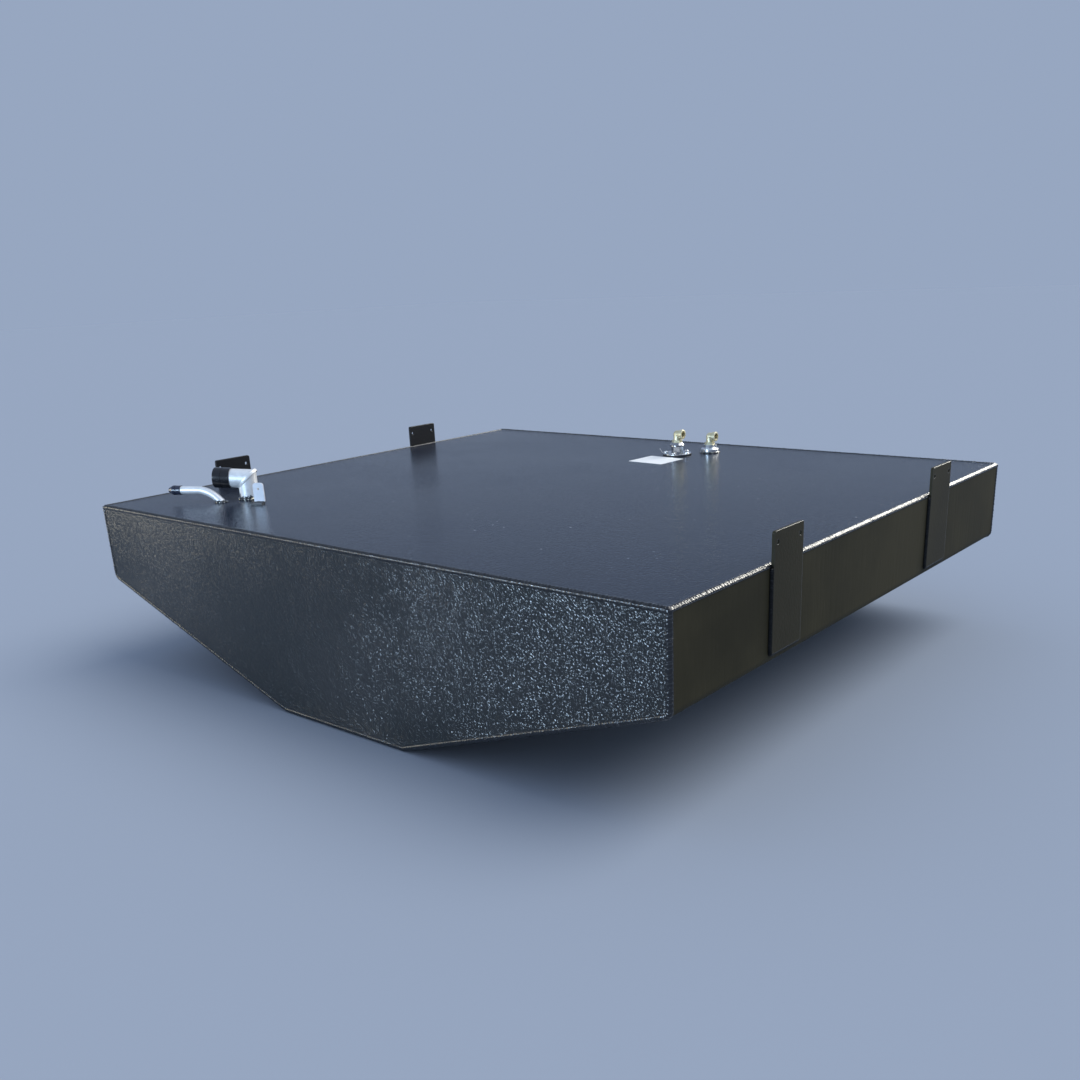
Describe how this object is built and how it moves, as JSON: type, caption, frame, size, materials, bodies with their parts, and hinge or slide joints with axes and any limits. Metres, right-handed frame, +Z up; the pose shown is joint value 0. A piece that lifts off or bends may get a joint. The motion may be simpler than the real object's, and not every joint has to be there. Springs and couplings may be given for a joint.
{
  "type": "belly fuel tank",
  "caption": "Welded fuel tank for the bottom of a V-shaped hull: flat top, sloping bottom panels, side mounting tabs, elbowed filler neck, bent vent, gauge flange and return fitting.",
  "frame": {"origin": "middle of the flat keel face that the tank stands on", "axes": "+X across the tank towards the right side, +Y along it towards the rear end, +Z up"},
  "size_m": [1.4026, 1.2192, 0.3999],
  "materials": {
    "coated_aluminium": "satin",
    "bare_aluminium": "satin",
    "mill_aluminium": "satin",
    "zinc_plated_steel": "satin",
    "brass": "satin",
    "brass_mesh": "matte",
    "black_vinyl": "satin",
    "gasket_rubber": "matte",
    "black_plastic": "matte",
    "float_foam": "matte",
    "white_label": "satin"
  },
  "bodies": {
    "tank": {"top_plate": "coated_aluminium", "belly_shell": "coated_aluminium", "front_end_plate": "coated_aluminium", "rear_end_plate": "coated_aluminium", "top_seam_weld": "coated_aluminium", "front_seam_weld": "coated_aluminium", "rear_seam_weld": "coated_aluminium", "mounting_tab_right_front": "coated_aluminium", "mounting_tab_right_rear": "coated_aluminium", "mounting_tab_left_front": "coated_aluminium", "mounting_tab_left_rear": "coated_aluminium", "tab_welds": "coated_aluminium", "filler_base_weld": "coated_aluminium", "filler_riser": "bare_aluminium", "filler_outlet": "bare_aluminium", "filler_mitre_weld": "bare_aluminium", "vent_tube": "bare_aluminium", "vent_base_weld": "bare_aluminium", "bonding_tab": "bare_aluminium", "return_bung": "bare_aluminium", "return_bung_weld": "bare_aluminium", "return_bushing": "bare_aluminium", "front_baffle": "mill_aluminium", "rear_baffle": "mill_aluminium", "pickup_dip_tube": "mill_aluminium", "return_drop_tube": "mill_aluminium", "sender_flange": "zinc_plated_steel", "flange_screws": "zinc_plated_steel", "flange_fitting": "zinc_plated_steel", "sender_bracket": "zinc_plated_steel", "ground_terminal": "zinc_plated_steel", "sender_terminal": "zinc_plated_steel", "pickup_elbow": "brass", "return_elbow": "brass", "pickup_strainer": "brass_mesh", "sender_gasket": "gasket_rubber", "sender_housing": "black_plastic", "label": "white_label"},
    "filler_cap": {"filler_cap": "black_vinyl"},
    "vent_cap": {"vent_cap": "black_vinyl"},
    "float_arm": {"float_arm": "zinc_plated_steel", "gauge_float": "float_foam"}
  },
  "joints": [
    {"name": "filler_cap_pull", "type": "slide", "parent": "tank", "child": "filler_cap", "axis": [-0.7988, -0.5976, 0.0698], "range_m": [0, 0.06]},
    {"name": "vent_cap_pull", "type": "slide", "parent": "tank", "child": "vent_cap", "axis": [-0.887, -0.4617, 0], "range_m": [0, 0.04]},
    {"name": "float_arm_swing", "type": "hinge", "parent": "tank", "child": "float_arm", "pos_m": [0.0208, 0.411, 0.1694], "axis": [0, -1, 0], "range_deg": [0, 96]}
  ]
}
